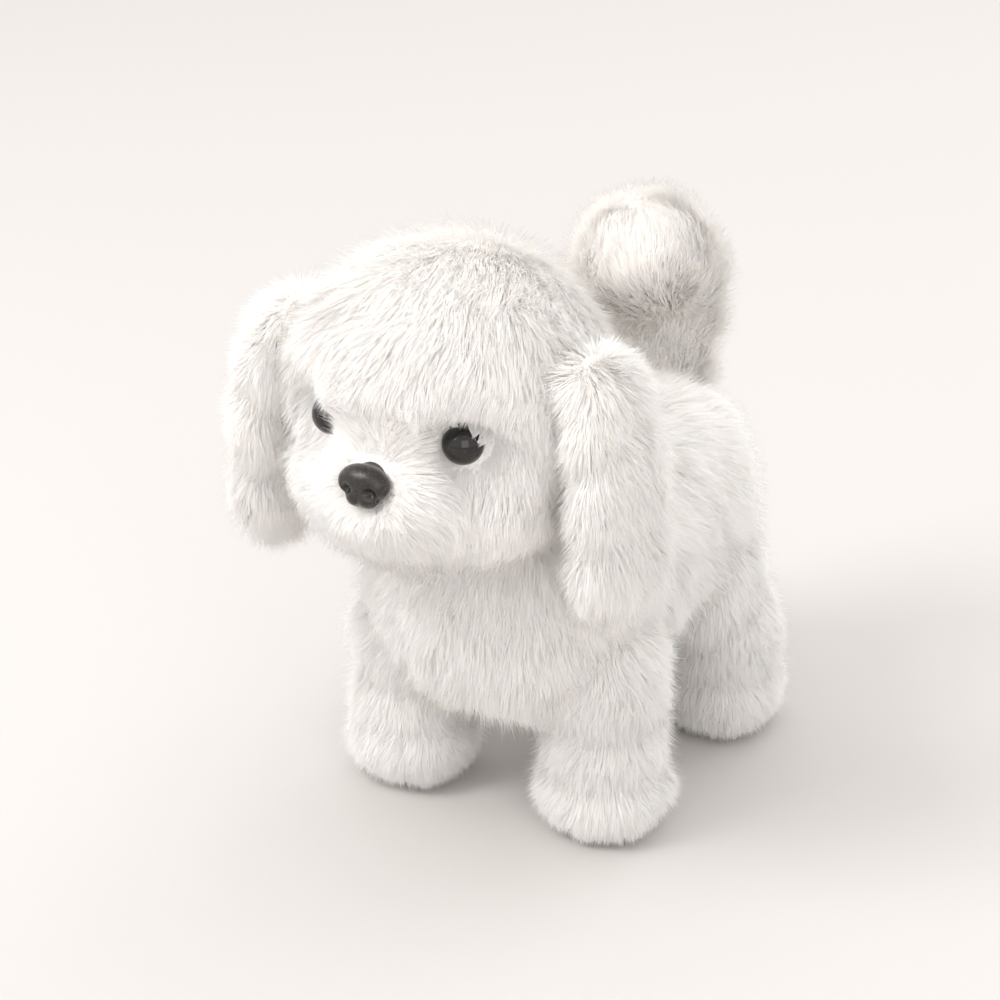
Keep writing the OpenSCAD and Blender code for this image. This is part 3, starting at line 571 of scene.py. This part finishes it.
def nose():
    """A low moulded nose: a wide pad with a nostril on each side over two small lobes."""
    lumps = [lump(NOSE + (0, 1.0, 1.2), (6.3, 3.9, 3.7), 2.1)]
    for side in (-1, 1):
        lumps.append(lump(NOSE + (side * 3.9, 1.1, 0.3), (2.9, 3.4, 3.3)))
        lumps.append(lump(NOSE + (side * 1.5, 0.6, -2.9), (2.9, 3.3, 2.9)))
    lumps.append(lump(NOSE + (0, 4.6, 0), (4.4, 2.6, 4.4)))
    piece = skin("nose_moulded", lumps, voxel=0.42, smooth=5)

    def nostrils(p):
        p = p.copy()
        for side in (-1, 1):
            at = NOSE + (side * 3.4, -2.0, -0.9)
            p[:, 1] += 1.5 * near(p, at, 2.2)
        return p

    reshape(piece, nostrils)
    piece.data.materials.clear()
    piece.data.materials.append(BY_SLOT["nose_black"]())
    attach(piece, "head")
    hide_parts("nose")


# ---------- ears ----------
def ears():
    for side, label in ((1, "left"), (-1, "right")):
        y = FRONT - 31
        lumps = [
            lump((side * 42.5, y - 1.5, EAR_TOP - 14), (6.0, 12.0, 7)),
            lump((side * 46.5, y - 1.5, EAR_TOP - 24), (6.8, 15.0, 15)),
            lump((side * 49.0, y - 1.0, EAR_TOP - 40), (7.4, 16.8, 20)),
            lump((side * 49.6, y - 0.5, EAR_TOP - 56), (7.2, 16.0, 15)),
        ]
        base = skin(f"ear_skin_{label}", lumps, voxel=1.3, smooth=18)
        hold(base, f"{label}_ear", f"ear_{label}")
        comb = lambda p, n, s=side: np.stack((0.25 * n[:, 0], 0.3 * n[:, 1], -np.ones(len(p))), 1)
        length = lambda p, n: 8.5 + 2.5 * np.clip((EAR_TOP - 45 - p[:, 2]) / 30, 0, 1)
        pile(f"pile_ear_{label}", f"{label}_ear", base, 60000, comb, length, lie=1.2, mix=(0.68, 0.26))


# ---------- body ----------
BELLY_HALF = 16.2
BELLY_RIM = 36.8


def torso():
    y = FRONT
    lumps = [
        lump((0, y + 3, 67), (37, 28.2, 36), 2.5),
        lump((0, y + 34, 68), (35.5, 34, 33.0), 2.5),
        lump((0, y + 60, 66), (35.5, 27, 34), 2.5),
        lump((0, y + 72, 82), (19, 16, 19)),
    ]
    base = skin("body_skin", lumps, voxel=2.0, smooth=12)

    def open_belly(p):
        # the skin stops at the rim of the belly plate
        p = p.copy()
        inside = (np.abs(p[:, 0]) < BELLY_HALF) & (p[:, 2] < 60)
        inside &= (p[:, 1] > y - 12.5) & (p[:, 1] < y + 83.5)
        p[inside, 2] = np.maximum(p[inside, 2], BELLY_RIM)
        return p

    reshape(base, open_belly)
    hold(base, "chassis", "body_plush", "back_padding")

    def comb(p, n):
        t = np.clip((p[:, 1] - y) / 60, 0, 1)
        return np.stack((0.18 * p[:, 0] / 30, 0.15 + 0.55 * t, -1.0 * np.ones(len(p))), 1)

    def length(p, n):
        return 10.5 + 1.5 * np.clip((50 - p[:, 2]) / 15, 0, 1)

    def keep(p, n):
        plate = (np.abs(p[:, 0]) < 19) & (n[:, 2] < -0.3) & (p[:, 2] < 44)
        plate &= (p[:, 1] > y - 14) & (p[:, 1] < y + 86)
        under_head = np.linalg.norm(p - HEAD, axis=1) < 36
        return ~plate & ~under_head

    for label, part in (("left", lambda p: p[:, 0] >= 0), ("right", lambda p: p[:, 0] < 0)):
        pile(f"pile_body_{label}", "chassis", base, 230000, comb, length, lie=1.22,
             keep=lambda p, n, f=part: keep(p, n) & f(p), floor=22)


# ---------- legs ----------
def legs():
    for side, label in ((1, "left"), (-1, "right")):
        for end, y in (("front", FRONT), ("rear", REAR)):
            x = side * TRACK
            # the thigh leans towards the body, and more at the rear
            if end == "front":
                top = lump((x * 0.98, y, 43), (13.2, 13.6, 17), 2.2)
            else:
                top = lump((x * 0.9, y - 3, 43), (12.0, 13.0, 17), 2.2)
            lumps = [
                lump((x, y, 12.4), (13.8, 13.8, 11.6), 2.6),
                lump((x, y, 26), (12.9, 13.0, 20), 2.2),
                top,
            ]
            name = f"{end}_{label}"
            base = skin(f"leg_skin_{name}", lumps, voxel=1.3, smooth=9)
            hold(base, f"leg_{end}_{label}", f"{name}_paw")
            centre = np.array((x, y, 0))

            def comb(p, n, c=centre):
                out = unit((p - c) * (1, 1, 0))
                low = np.clip((10 - p[:, 2]) / 9, 0, 1)[:, None]
                return out * (0.12 - 0.2 * low) + np.array((0, 0, -1.0))

            length = lambda p, n: 9.5 - 3.0 * np.clip((16 - p[:, 2]) / 14, 0, 1)
            keep = lambda p, n: ~((p[:, 2] < 4) & (n[:, 2] < -0.85))
            pile(f"pile_leg_{name}", f"leg_{end}_{label}", base, 60000, comb, length, lie=1.02, keep=keep,
                 floor=0.3)


# ---------- tail ----------
def tail():
    back, top = TAIL_BACK, TAIL_TOP
    places = ((back - 22, top - 60), (back - 23, top - 47), (back - 25, top - 36), (back - 29, top - 29.5),
              (back - 32, top - 29.5))
    radii = ((13, 11.5, 12), (15, 12.5, 14), (16.5, 14, 14.5), (16.8, 15, 15), (16.2, 15, 15))
    base = skin("tail_skin", [lump((0, y, z), r) for (y, z), r in zip(places, radii)], voxel=1.5, smooth=24)
    hold(base, "tail", "tail_plush")
    root = np.array((0, back - 18, top - 72))
    comb = lambda p, n: unit(p - root)
    length = lambda p, n: np.full(len(p), 10.5)
    pile("pile_tail", "tail", base, 64000, comb, length, lie=1.12, mix=(0.6, 0.32))


dress_cad()
camera()
studio()
head()
nose()
ears()
torso()
legs()
tail()
